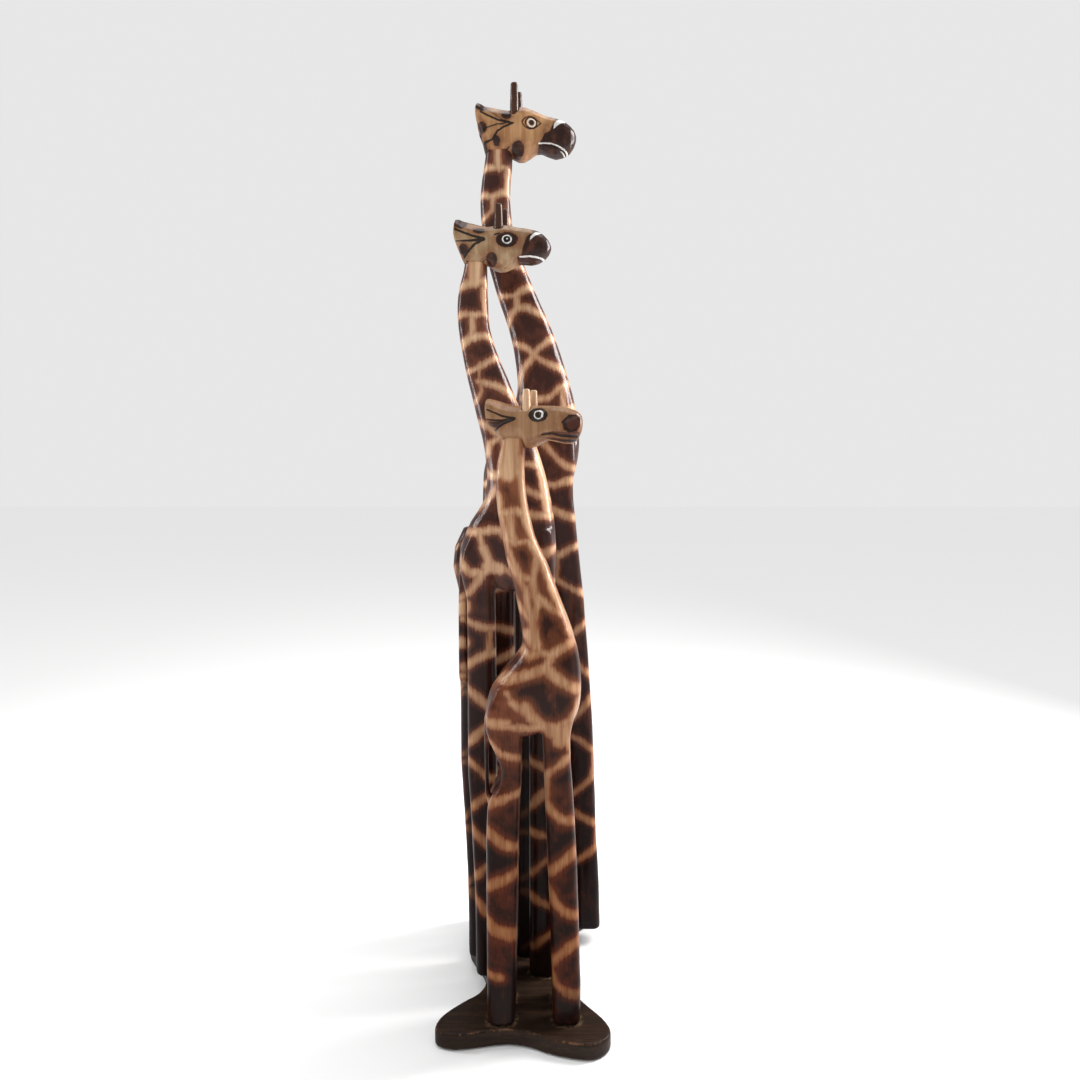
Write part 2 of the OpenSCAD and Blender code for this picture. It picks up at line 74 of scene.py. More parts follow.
# Each light line: its width, then its points (x, z) on the near face, z above the base's top
TALL_LINES = [
    (7, (-53, 889), (-38, 889), (-24, 889), (-12, 884)),
    (9, (-30, 889), (-31, 914)),
    (5, (-22, 889), (-21, 875), (-21, 861)),
    (7, (-54, 861), (-37, 857), (-27, 861), (-14, 862)),
    (6, (-36, 857), (-37, 843), (-44, 835), (-53, 831)),
    (6, (-12, 836), (-19, 832), (-24, 822), (-24, 810)),
    (7, (-52, 816), (-38, 811), (-24, 810), (-8, 818)),
    (6, (-38, 811), (-33, 796), (-44, 788)),
    (6, (-33, 796), (-14, 792), (4, 800)),
    (6, (-12, 781), (2, 777)),
    (7.5, (-37, 750), (-24, 748), (-13, 748), (-5, 754), (10, 760)),
    (6.5, (-12, 748), (-10, 735)),
    (7, (-10, 735), (3, 734), (14, 729), (27, 720)),
    (7, (-10, 735), (-16, 727), (-20, 717), (-28, 708)),
    (7, (-22, 699), (-8, 694), (2, 689), (9, 682)),
    (7, (36, 704), (24, 697), (14, 689), (9, 682)),
    (6, (9, 682), (4, 675), (-2, 668), (-7, 656), (-13, 640)),
    (6, (9, 682), (20, 675), (33, 669), (49, 660)),
    (8, (58, 656), (46, 650), (36, 643), (26, 634), (12, 632), (-2, 634)),
    (6, (41, 647), (41, 634), (44, 620)),
    (7, (-16, 622), (0, 616), (20, 618), (34, 610), (44, 620), (62, 626)),
    (7, (0, 616), (-6, 600), (4, 588), (18, 585)),
    (7, (-30, 600), (-6, 600)),
    (7.5, (18, 585), (28, 575), (36, 565), (46, 557), (62, 552)),
    (7, (4, 588), (-6, 570), (-26, 562), (-52, 566)),
    (7, (-6, 570), (4, 548), (16, 535)),
    (8, (16, 535), (34, 536), (44, 540), (58, 541)),
    (7, (4, 548), (-14, 540), (-54, 536)),
    (7.5, (18, 512), (32, 507), (44, 501), (60, 497)),
    (8, (26, 450), (38, 455), (48, 461), (64, 467)),
    (6, (35, 456), (35, 428)),
    (7.5, (28, 432), (38, 426), (54, 415), (68, 409)),
    (8, (32, 348), (46, 356), (58, 367), (72, 378)),
    (7.5, (44, 344), (56, 334), (64, 322), (78, 311)),
    (8, (40, 250), (52, 260), (64, 272), (80, 290)),
    (8, (40, 246), (52, 240), (66, 234), (84, 219)),
    (5, (79, 222), (79, 205), (76, 190)),
    (8, (46, 166), (56, 172), (70, 183), (84, 195)),
    (8, (46, 156), (58, 147), (72, 138), (86, 130)),
    (5, (84, 130), (84, 104)),
    (8.5, (50, 82), (60, 88), (74, 97), (88, 107)),
    (8, (-64, 508), (-34, 500), (-8, 506)),
    (8, (-64, 455), (-34, 462), (-8, 452)),
    (8, (-64, 425), (-34, 416), (-8, 424)),
    (9, (-64, 381), (-34, 371), (-8, 364)),
    (9, (-64, 322), (-34, 332), (-8, 345)),
    (8, (-60, 290), (-34, 280), (-8, 274)),
    (8, (-60, 232), (-34, 242), (-8, 250)),
    (8, (-60, 212), (-34, 202), (-8, 196)),
    (8, (-60, 150), (-34, 158), (-8, 168)),
    (8, (-60, 122), (-34, 112), (-8, 106)),
    (8, (-60, 62), (-34, 70), (-8, 76)),
    (8, (-60, 48), (-34, 40), (-8, 34)),
]

MEDIUM_LINES = [
    (9, (-74, 741), (-62, 742), (-50, 748), (-36, 748)),
    (14, (-50, 774), (-50, 748)),
    (5, (-42, 740), (-41, 716)),
    (6.5, (-74, 712), (-60, 713), (-50, 713), (-34, 716)),
    (6, (-55, 712), (-54, 700), (-55, 690)),
    (8, (-72, 676), (-64, 684), (-55, 690), (-42, 692), (-28, 688)),
    (7, (-72, 655), (-56, 656), (-45, 660), (-36, 666), (-20, 674)),
    (5, (-46, 657), (-46, 646)),
    (8, (-48, 646), (-38, 644), (-25, 640), (-14, 633), (-2, 624)),
    (5, (-56, 620), (-48, 628), (-44, 636), (-46, 646)),
    (6, (-56, 605), (-42, 602), (-33, 595), (-24, 588)),
    (8, (-24, 588), (-10, 596), (6, 600), (14, 604)),
    (6.5, (-24, 588), (-36, 582), (-38, 572), (-50, 566)),
    (6, (-24, 588), (-22, 570), (-22, 552)),
    (8, (-50, 553), (-38, 550), (-22, 546), (-8, 562)),
    (6, (-8, 562), (4, 561), (18, 557)),
    (7, (-22, 546), (-28, 536), (-38, 524), (-50, 514)),
    (7, (-22, 546), (-8, 538), (4, 533), (16, 528), (28, 524)),
    (7, (-22, 546), (-12, 526), (0, 510)),
    (7.5, (0, 510), (12, 507), (26, 506), (38, 511)),
    (7, (0, 510), (-10, 494), (-24, 492)),
    (7, (-74, 490), (-46, 490), (-34, 493), (-24, 492)),
    (6, (-47, 490), (-43, 474)),
    (9, (-43, 474), (-37, 458)),
    (13, (-39, 455), (-26, 452)),
    (8, (-24, 492), (-12, 478), (4, 470), (22, 469), (38, 475)),
    (8, (-76, 468), (-66, 455), (-56, 448), (-44, 448), (-34, 452)),
    (8, (-44, 448), (-50, 436), (-58, 427), (-68, 422)),
    (7, (-18, 450), (-4, 440), (12, 434), (38, 440)),
    (8, (-66, 399), (-52, 393), (-42, 389), (-24, 388)),
    (6, (-37, 388), (-37, 362)),
    (9, (-66, 346), (-50, 356), (-38, 362), (-26, 362)),
    (17, (-78, 411), (-64, 411)),
    (12, (-78, 373), (-64, 373)),
    (6, (-78, 336), (-64, 336)),
    (8.5, (-66, 328), (-52, 316), (-44, 310), (-26, 300)),
    (8.5, (-66, 259), (-55, 270), (-46, 279), (-26, 292)),
    (8, (-66, 249), (-52, 238), (-42, 229), (-26, 222)),
    (8, (-66, 187), (-52, 198), (-42, 206), (-26, 214)),
    (8.5, (-64, 173), (-52, 161), (-42, 153), (-26, 147)),
    (8.5, (-64, 109), (-52, 118), (-42, 127), (-26, 134)),
    (8.5, (-62, 98), (-50, 84), (-42, 75), (-26, 68)),
    (8, (0, 400), (16, 406), (38, 412)),
    (8, (0, 374), (16, 366), (38, 360)),
    (8, (0, 318), (16, 326), (38, 334)),
    (8, (0, 302), (16, 294), (38, 286)),
    (8.5, (-2, 247), (8, 243), (18, 238), (38, 228)),
    (8.5, (-2, 188), (8, 196), (18, 208), (38, 226)),
    (9, (-2, 167), (12, 164), (38, 158)),
    (7.5, (-2, 113), (8, 120), (18, 130), (38, 146)),
    (8, (-2, 97), (12, 89), (38, 77)),
    (7, (-2, 30), (10, 37), (38, 58)),
    (9, (12, 590), (17, 560), (22, 530), (24, 513)),
]

SMALL_LINES = [
    (20, (-12, 596), (-14, 556)),
    (8.5, (-4, 567), (-1, 540), (1, 520), (5, 500), (13, 480), (18, 470), (25, 450), (38, 420),
     (46, 403)),
    (6, (-22, 515), (-15, 480), (-5, 455), (3, 440), (8, 412), (10, 396)),
    (12, (6, 398), (12, 388)),
    (16, (26, 306), (36, 304), (36, 296)),
    (9, (-30, 313), (-15, 313)),
    (10, (2, 330), (8, 318)),
    (9, (-30, 553), (-12, 553), (6, 556)),
    (6, (-30, 540), (-24, 530), (-24, 518)),
    (8, (-30, 516), (-16, 514), (-6, 518), (8, 512)),
    (9, (-14, 514), (-12, 498), (-8, 486)),
    (7, (-20, 490), (-8, 486), (4, 488), (14, 474), (26, 470)),
    (7, (-16, 470), (-9, 458), (0, 452), (9, 452), (14, 474)),
    (9, (9, 452), (11, 438), (14, 428)),
    (8, (14, 436), (26, 425), (42, 414), (54, 404)),
    (7, (-10, 432), (0, 420), (8, 410), (14, 428)),
    (8, (8, 410), (10, 396), (16, 382)),
    (6, (-10, 400), (0, 396), (10, 396)),
    (7, (44, 404), (50, 392), (60, 384)),
    (8, (50, 392), (38, 386), (26, 379), (16, 382)),
    (8, (16, 382), (6, 378), (-4, 384)),
    (8, (26, 379), (22, 368)),
    (8.5, (-34, 352), (-18, 355), (0, 359), (12, 363), (22, 368)),
    (9, (22, 368), (28, 360), (38, 352), (50, 346), (62, 340)),
    (5, (-16, 342), (-12, 333)),
    (9, (-12, 333), (2, 326), (12, 316), (20, 309)),
    (8, (-44, 314), (-26, 311), (-10, 309), (6, 307), (20, 309)),
    (8.5, (60, 342), (52, 326), (44, 315), (32, 309), (18, 307)),
    (8, (42, 314), (42, 300), (46, 286)),
    (7, (-32, 292), (-22, 282), (-2, 277)),
    (8, (-42, 226), (-28, 233), (-14, 239), (0, 243)),
    (9.5, (-42, 207), (-30, 199), (-20, 191), (0, 185)),
    (10, (-42, 143), (-30, 149), (-18, 155), (0, 164)),
    (12, (-42, 113), (-30, 103), (-20, 99), (0, 93)),
    (8, (-42, 55), (-30, 53), (-24, 52)),
    (8, (14, 252), (24, 263), (34, 271), (50, 282)),
    (5, (21, 262), (21, 232)),
    (9, (14, 240), (26, 225), (36, 217), (54, 212)),
    (9.5, (18, 154), (30, 165), (40, 174), (58, 187)),
    (9.5, (20, 148), (30, 131), (40, 121), (60, 112)),
    (9, (22, 60), (32, 73), (44, 83), (60, 92)),
    (9, (24, 58), (32, 44), (44, 36), (62, 31)),
]

# Lightly burnt places: x, z, half width, half height, and how light (0 to 1)
TALL_BROWN = [(-30, 897, 10, 9, 0.6), (-20, 846, 9, 10, 0.4), (10, 705, 16, 8, 0.3)]
MEDIUM_BROWN = [(-46, 700, 12, 12, 0.7), (-58, 668, 12, 8, 0.4), (-36, 566, 9, 8, 0.4)]
SMALL_BROWN = [
    (-16, 326, 24, 13, 0.9), (-22, 345, 14, 8, 0.6), (-12, 560, 24, 34, 0.7),
    (-4, 500, 16, 18, 0.5), (-20, 300, 20, 12, 0.5), (-20, 262, 22, 16, 0.4),
    (-24, 132, 24, 20, 0.5), (-26, 78, 24, 18, 0.5), (-24, 214, 20, 14, 0.4),
    (38, 240, 22, 14, 0.4), (40, 148, 22, 16, 0.4), (40, 62, 22, 20, 0.4),
]


# ---------------------------------------------------------------- paint and carving on the heads

# turn: the head's turn towards the camera, degrees. burnt: soft-edged spots; ink: dark strokes;
# red: dark red strokes; white: white paint, and a painted glint in the medium and small pupils.
# Shapes: ("line", width at the start, width at the end, points), ("disc", x, z, half width, half
# height), ("ring", x, z, half width, half height, width), ("area", corner points).
# carve: grooves (depth, half width, points). hollows: dished shapes (depth, shape).
# brows: (x, z, half width, half height, depth) of the ring cut round an eye.
# shade: (x, z, half width, half height, strength) of a smoked place.
# tint, tint_dark: the head's wood between its fibres and along them.
HEADS = {
    "tall": {
        "turn": 0,
        "burnt": [
            ("disc", -8.5, 2.5, 7, 8),
            ("disc", -21, 37.5, 5.2, 4.2),
            ("disc", -48.5, 44.5, 6, 4.4),
            ("disc", -48, 22.5, 5.4, 6),
            ("disc", -32, 10.5, 4, 5),
            ("disc", -46, 3.5, 3.2, 6.5),
            ("area", (32, 60), (33, 33), (29, 27), (27, 22), (21, 19.5), (18, 14), (14.2, 7),
             (13.2, 1), (16, -3), (16, -20), (80, -20), (80, 60)),
        ],
        "ink": [
            ("line", 2.4, 2.4, (-17, 29.6), (-31, 32), (-49, 39)),
            ("line", 0.9, 0.9, (-15, 30), (-26, 33), (-43, 43)),
            ("line", 1.2, 1.2, (-22, 28.6), (-31, 27.5), (-46, 21.5)),
            ("line", 2.2, 1.8, (-14, 29.2), (-24, 25), (-31, 20), (-37, 11), (-48.5, 6.6)),
            ("line", 1.2, 1.6, (-18, 5.5), (-23, 2.6), (-32, 0.8), (-41, 2.2)),
            ("disc", 6.6, 30, 2.7, 2.7),
            ("ring", 6.2, 30, 6.2, 5.8, 1.3),
        ],
        "red": [
            ("line", 1.5, 1.5, (-4, 31), (-1, 34.6), (4, 36.9), (8.5, 36.2), (12.5, 33.6),
             (17, 30.4), (13, 27), (9, 24.2), (4.5, 23.2), (0, 25), (-3, 28.4), (-4, 31)),
        ],
        "white": [
            ("ring", 6.6, 30, 4.2, 4.1, 1.1),
            ("line", 1.0, 1.3, (14.6, 9.6), (22, 9.8), (29, 9), (36, 6.3), (43, 3.2), (48.6, 0.2)),
            ("line", 0.8, 0.8, (39, 1.6), (44, -0.8)),
            ("area", (31, 24), (31.6, 30), (35, 34.5), (40, 37), (46, 36), (45.2, 33), (40, 31),
             (35, 27.6)),
        ],
        "carve": [
            (0.7, 0.9, (-4, 31), (-1, 34.6), (4, 36.9), (8.5, 36.2), (12.5, 33.6), (17, 30.4),
             (13, 27), (9, 24.2), (4.5, 23.2), (0, 25), (-3, 28.4), (-4, 31)),
            (1.1, 1.1, (14.6, 8.4), (22, 8.6), (29, 7.8), (36, 5.1), (43, 2), (48.6, -1)),
            (1.0, 1.1, (-18, 5.5), (-23, 2.6), (-32, 0.8), (-41, 2.2)),
        ],
        "hollows": [],
        "brows": [(6.4, 30, 6, 5, 0.9)],
        "shade": [(-47, 4, 8, 11, 1.0), (-32, 12, 10, 8, 0.5), (24, 24, 9, 12, 0.6),
                  (0, 46, 18, 6, 0.5), (-14, 2, 10, 10, 0.5), (-24, 40, 12, 8, 0.5),
                  (-50, 26, 7, 12, 0.5)],
        "tint": (0.55, 0.315, 0.15),
        "tint_dark": (0.36, 0.175, 0.075),
    },
    "medium": {
        "turn": 9,
        "burnt": [
            ("disc", -30.5, 3.6, 6, 6.6),
            ("disc", -14.5, 22.2, 11, 7.6),
            ("disc", -58, 13, 5, 5.4),
            ("disc", -43, 32, 6, 3),
            ("area", (-72, 36), (-60, 33.5), (-56, 36), (-56, 50), (-72, 50)),
            ("area", (10, 50), (11, 28.5), (6, 26), (3.4, 20), (1.4, 14), (0.4, 8), (-5, 5.2),
             (-4.4, 0), (0, -4), (4, -20), (50, -20), (50, 50)),
        ],
        "ink": [
            ("line", 2.6, 2.2, (-38, 24), (-50.5, 26.8), (-66.5, 32.8)),
            ("line", 3.6, 0.9, (-38, 23), (-50, 21.8), (-66, 21.2)),
            ("line", 2.6, 1.8, (-40, 22), (-47, 18.5), (-53, 12), (-58.6, 6)),
            ("line", 1.4, 0.9, (-57, 3), (-50, 0.2), (-43, 1), (-38, 4.4)),
            ("line", 1.6, 1.6, (-27, 27.5), (-22, 28.5)),
            ("disc", -14.4, 22.6, 3.2, 3),
        ],
        "red": [],
        "white": [
            ("ring", -14.4, 22.6, 4.3, 3.8, 1.2),
            # painted glint: this white dot in the pupil stands for a reflection of the lamps in the
            # lacquer
            ("disc", -14, 22.9, 0.9, 0.8),
            ("line", 1.2, 1.6, (-2, 6), (8, 6), (16, 5), (25, 3.4)),
            ("line", 1.0, 1.0, (20, 1.6), (24, 1)),
            ("area", (8.6, 21), (9.4, 25), (13.2, 29.6), (19.5, 30.2), (18, 28.2), (13.4, 25.4)),
        ],
        "carve": [
            (0.6, 0.9, (-25, 22.5), (-20, 26.8), (-14, 28.6), (-8, 26.8), (-4, 23), (-8, 18.4),
             (-14, 16), (-20, 18), (-25, 22.5)),
            (1.0, 1.1, (-2, 4.8), (8, 4.6), (16, 3.6), (25, 2)),
            (1.0, 1.1, (-57, 3), (-50, 0.2), (-43, 1), (-38, 4.4)),
        ],
        "hollows": [],
        "brows": [(-14.4, 22.6, 6, 5, 0.8)],
        "shade": [(-14, 24, 15, 11, 0.6), (-62, 39, 11, 9, 0.8), (4, 15, 9, 17, 0.5),
                  (-34, -3, 18, 6, 0.6), (-58, 12, 10, 9, 0.5), (-34, 8, 10, 10, 0.4)],
        "tint": (0.46, 0.32, 0.19),
        "tint_dark": (0.30, 0.185, 0.095),
    },
    "small": {
        "turn": 11,
        "burnt": [
            ("area", (40, 17.6), (44, 22), (50, 24.6), (56.4, 24), (56, 14), (53.4, 9.4), (46, 8),
             (41.4, 11.4)),
            ("area", (-31, 18.6), (-12, 19), (-22, 12.8), (-29, 14.4)),
        ],
        "ink": [
            ("line", 2.2, 1.4, (-5, 21.8), (-16, 23.6), (-31, 30)),
            ("line", 2.6, 0.9, (-7, 21), (-18, 19.6), (-33, 20.8)),
            ("line", 2.4, 1.6, (-5, 21), (-15, 17.2), (-24, 10.4)),
            ("disc", 17, 24.8, 9, 6.4),
            ("line", 1.2, 2.6, (20, 6.4), (30, 7.6), (38, 5.6), (53, 4.6)),
            ("line", 0.8, 1.8, (28, 2.6), (38, 0.8), (51, 0.6)),
            ("line", 1.6, 0.8, (40, 18), (46, 24), (55, 25)),
        ],
        "red": [
            ("disc", 48.5, 16, 4.6, 4.6),
            ("line", 1.5, 4.0, (22, 7.4), (31, 8.6), (39, 7.4), (48, 6.4), (54, 7)),
            ("line", 1.0, 4.0, (24, 3.4), (33, 2.6), (42, 0.6), (52, 0.8)),
        ],
        "white": [
            ("ring", 17.4, 25, 3.7, 3.7, 1.0),
            ("line", 0.6, 1.8, (16, 28.4), (19.4, 28.6), (21.4, 26.6), (21, 23.8)),
            # painted glint: this white dot in the pupil stands for a reflection of the lamps in the
            # lacquer
            ("disc", 18.4, 25.6, 0.5, 0.5),
        ],
        "carve": [
            (0.7, 0.9, (8.4, 24), (12, 29), (18, 31), (23.6, 29.4), (26, 25), (22.6, 20.4),
             (16.4, 18.6), (11, 20), (8.4, 24)),
            (1.7, 1.5, (19, 6), (30, 7.2), (38, 5.2), (53, 4.2)),
            (0.8, 1.0, (28, 2.6), (38, 0.8), (51, 0.6)),
        ],
        "hollows": [
            (1.8, ("area", (41.6, 17), (45, 21), (51, 23.4), (54.6, 22), (54, 14), (51.6, 10.6),
                   (46, 9.6), (43, 12))),
        ],
        "brows": [(17.2, 25, 7, 5, 0.8)],
        "shade": [(14, -1, 16, 9, 1.0), (-25, 14, 12, 9, 0.8), (46, 4, 18, 9, 1.0),
                  (30, 3, 16, 7, 0.7), (-22, 32, 12, 5, 0.4), (38, 18, 8, 12, 0.4)],
        "tint": (0.36, 0.205, 0.108),
        "tint_dark": (0.245, 0.125, 0.060),
    },
}


# ---------------------------------------------------------------- fields over points

def segments_of(points):
    """The starts and the ends of the straight pieces between points."""
    points = np.array(points, float)
    return points[:-1], points[1:]


def along_segment(at, a, b):
    """Distance to the segment from a to b, and how far along it the nearest point lies (0 to 1)."""
    ab = b - a
    t = np.clip(((at - a) @ ab) / max(ab @ ab, 1e-9), 0, 1)
    return np.linalg.norm(at - a - t[:, None] * ab, axis=1), t


def line_distance(at, points, width_start, width_end):
    """Signed distance to a stroke whose width runs evenly from its start to its end."""
    starts, ends = segments_of(points)
    lengths = np.linalg.norm(ends - starts, axis=1)
    total = lengths.sum()
    best = np.full(len(at), FAR_OFF)
    run = 0.0
    for a, b, length in zip(starts, ends, lengths):
        d, t = along_segment(at, a, b)
        share = (run + t * length) / total
        best = np.minimum(best, d - 0.5 * (width_start + (width_end - width_start) * share))
        run += length
    return best


def area_distance(at, points):
    """Signed distance to a closed outline, negative inside."""
    points = np.array(points, float)
    best = np.full(len(at), FAR_OFF)
    inside = np.zeros(len(at), bool)
    for a, b in zip(points, np.roll(points, -1, axis=0)):
        best = np.minimum(best, along_segment(at, a, b)[0])
        crosses = (a[1] > at[:, 1]) != (b[1] > at[:, 1])
        rise = b[1] - a[1] if abs(b[1] - a[1]) > 1e-9 else 1e-9
        inside ^= crosses & (at[:, 0] < a[0] + (at[:, 1] - a[1]) / rise * (b[0] - a[0]))
    return np.where(inside, -best, best)


def oval_reach(at, x, z, half_w, half_h):
    """0 at an upright oval's middle, 1 on its outline."""
    return np.hypot((at[:, 0] - x) / half_w, (at[:, 1] - z) / half_h)


def oval_distance(at, x, z, half_w, half_h):
    """About the signed distance to an oval's outline."""
    return (oval_reach(at, x, z, half_w, half_h) - 1) * min(half_w, half_h)


def shape_distance(at, shape):
    """Signed distance to one painted, burnt or hollowed shape of a head."""
    kind = shape[0]
    if kind == "line":
        return line_distance(at, shape[3:], shape[1], shape[2])
    if kind == "area":
        return area_distance(at, shape[1:])
    if kind == "disc":
        return oval_distance(at, *shape[1:])
    return np.abs(oval_distance(at, *shape[1:5])) - shape[5] / 2


def nearest_shape(at, shapes):
    """Signed distance to the nearest of the shapes."""
    best = np.full(len(at), FAR_OFF)
    for s in shapes:
        best = np.minimum(best, shape_distance(at, s))
    return best


def smoothstep(low, high, value):
    """0 at low, 1 at high, eased at both; low may be the larger."""
    t = np.clip((value - low) / (high - low), 0, 1)
    return t * t * (3 - 2 * t)


def soft_noise(points, size, seed):
    """Smooth noise from 0 to 1 over points, with cells of the given size along each axis."""
    table = np.random.default_rng(seed).random(4096)
    cell = points / np.array(size, float)
    low = np.floor(cell).astype(np.int64)
    f = cell - low
    f = f * f * (3 - 2 * f)
    out = np.zeros(len(points))
    for corner in range(8):
        o = np.array([corner & 1, corner >> 1 & 1, corner >> 2 & 1])
        key = (low + o) @ np.array([73856093, 19349663, 83492791])
        weight = np.prod(np.where(o, f, 1 - f), axis=1)
        out += weight * table[np.mod(key, len(table))]
    return out


# ---------------------------------------------------------------- pieces

def refined(node, name, voxel, rounds, tuck=0.0):
    """An evenly meshed, softened copy of a CAD node that stands for it.

    Its topmost points go up by tuck first. rounds is how often the smoothing runs.
    """
    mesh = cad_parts[node].data.copy()
    b = bmesh.new()
    b.from_mesh(mesh)
    bmesh.ops.remove_doubles(b, verts=b.verts, dist=2e-6)
    top = max(v.co.z for v in b.verts) - 0.3 * MM
    for v in b.verts:
        if v.co.z > top:
            v.co.z += tuck
    b.to_mesh(mesh)
    b.free()
    rough = bpy.data.objects.new(name + "_rough", mesh)
    bpy.context.scene.collection.objects.link(rough)
    remesh = rough.modifiers.new("even", "REMESH")
    remesh.mode = "VOXEL"
    remesh.voxel_size = voxel
    soften = rough.modifiers.new("soften", "SMOOTH")
    soften.factor = 0.5
    soften.iterations = rounds
    graph = bpy.context.evaluated_depsgraph_get()
    final = bpy.data.meshes.new_from_object(rough.evaluated_get(graph))
    bpy.data.objects.remove(rough)
    final.name = name
    piece = bpy.data.objects.new(name, final)
    bpy.context.scene.collection.objects.link(piece)
    final.materials.clear()
    final.polygons.foreach_set("use_smooth", np.ones(len(final.polygons), bool))
    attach(piece, "root")
    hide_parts(node)
    return piece


def points_of(piece):
    """The piece's points, in millimetres."""
    co = np.empty(len(piece.data.vertices) * 3)
    piece.data.vertices.foreach_get("co", co)
    return co.reshape(-1, 3) / MM


def normals_of(piece):
    no = np.empty(len(piece.data.vertices) * 3)
    piece.data.vertices.foreach_get("normal", no)
    return no.reshape(-1, 3)


def set_points(piece, points):
    piece.data.vertices.foreach_set("co", (points * MM).ravel())
    piece.data.update()


def set_field(piece, name, values):
    """Gives the piece a value per point that its material reads by name."""
    field = piece.data.attributes.new(name, "FLOAT", "POINT")
    field.data.foreach_set("value", values.astype(np.float32))


def carved_surface(piece, seed, cut):
    """Presses shallow knife facets into the surface, never outwards."""
    p, n = points_of(piece), normals_of(piece)
    facets = soft_noise(p, (13, 13, 26), seed)
    marks = soft_noise(p, (4, 4, 15), seed + 1)
    depth = cut * (0.75 * facets + 0.25 * marks)
    set_points(piece, p - n * depth[:, None])


# ---------------------------------------------------------------- materials

class Shader:
    """Builds one node material, one short call per node."""

    def __init__(self, name):
        self.material = bpy.data.materials.new(name)
        self.material.use_nodes = True
        self.tree = self.material.node_tree
        self.bsdf = self.tree.nodes["Principled BSDF"]
        self.place = self.tree.nodes.new("ShaderNodeTexCoord").outputs["Object"]

    def link(self, value, socket):
        """Feeds a socket from another node's output, or sets it to a plain value."""
        if hasattr(value, "is_linked"):
            self.tree.links.new(value, socket)
        else:
            socket.default_value = value

    def field(self, name):
        node = self.tree.nodes.new("ShaderNodeAttribute")
        node.attribute_name = name
        return node.outputs["Fac"]

    def stretched(self, x, y, z):
        """Object coordinates scaled by axis; a small factor draws a noise out along that axis."""
        node = self.tree.nodes.new("ShaderNodeMapping")
        self.tree.links.new(self.place, node.inputs["Vector"])
        node.inputs["Scale"].default_value = (x, y, z)
        return node.outputs["Vector"]

    def noise(self, vector, scale, detail=4.0, rough=0.55, wander=0.0):
        node = self.tree.nodes.new("ShaderNodeTexNoise")
        self.tree.links.new(vector, node.inputs["Vector"])
        node.inputs["Scale"].default_value = scale
        node.inputs["Detail"].default_value = detail
        node.inputs["Roughness"].default_value = rough
        node.inputs["Distortion"].default_value = wander
        return node.outputs["Fac"]

    def math(self, kind, a, b=0.0, c=0.0):
        node = self.tree.nodes.new("ShaderNodeMath")
        node.operation = kind
        for value, socket in zip((a, b, c), node.inputs):
            self.link(value, socket)
        return node.outputs[0]

    def swing(self, noise, amount):
        """A noise centred on zero and scaled by amount."""
        return self.math("MULTIPLY", self.math("SUBTRACT", noise, 0.5), amount)

    def step(self, value, low, high, to_low=0.0, to_high=1.0):
        """Eases from to_low to to_high while value goes from low to high."""
        node = self.tree.nodes.new("ShaderNodeMapRange")
        node.interpolation_type = "SMOOTHSTEP"
        for key, v in (("Value", value), ("From Min", low), ("From Max", high),
                       ("To Min", to_low), ("To Max", to_high)):
            self.link(v, node.inputs[key])
        return node.outputs[0]

    def mix(self, a, b, factor, blend="MIX"):
        node = self.tree.nodes.new("ShaderNodeMix")
        node.data_type = "RGBA"
        node.blend_type = blend
        self.link(factor, node.inputs[0])
        for value, socket in ((a, node.inputs[6]), (b, node.inputs[7])):
            self.link((*value, 1.0) if isinstance(value, tuple) else value, socket)
        return node.outputs[2]

    def bump(self, *layers):
        """Stacks (height, strength, distance in metres) into one normal."""
        normal = None
        for height, strength, distance in layers:
            node = self.tree.nodes.new("ShaderNodeBump")
            self.link(height, node.inputs["Height"])
            node.inputs["Strength"].default_value = strength
            node.inputs["Distance"].default_value = distance
            if normal is not None:
                self.tree.links.new(normal, node.inputs["Normal"])
            normal = node.outputs["Normal"]
        return normal

    def finish(self, color, rough, normal, coat=0.0, coat_rough=0.1, metal=0.0):
        """Connects the surface; coat is the lacquer."""
        self.link(color, self.bsdf.inputs["Base Color"])
        self.link(rough, self.bsdf.inputs["Roughness"])
        self.bsdf.inputs["Metallic"].default_value = metal
        self.bsdf.inputs["Specular IOR Level"].default_value = 0.5 if metal else 0.06
        self.link(coat, self.bsdf.inputs["Coat Weight"])
        self.bsdf.inputs["Coat Roughness"].default_value = coat_rough
        if normal is not None:
            self.tree.links.new(normal, self.bsdf.inputs["Normal"])
            self.tree.links.new(normal, self.bsdf.inputs["Coat Normal"])
        return self.material


def shaded(color, amount):
    return tuple(amount * c for c in color)


def wood_grain(s, light, dark):
    """Pale wood whose fibres run up the plank: a colour, and the fibre and streak noises."""
    fibre = s.noise(s.stretched(1, 1, 0.035), 900, 5, 0.6)
    streak = s.noise(s.stretched(1, 1, 0.03), 190, 4, 0.55, 0.4)
    broad = s.noise(s.stretched(1, 1, 0.2), 32, 3)
    color = s.mix(light, dark, s.step(streak, 0.36, 0.70))
    color = s.mix(color, dark, s.step(fibre, 0.48, 0.72, 0, 0.55))
    color = s.mix(color, shaded(dark, 0.72), s.step(broad, 0.5, 0.75, 0, 0.5))
    return color, fibre, streak


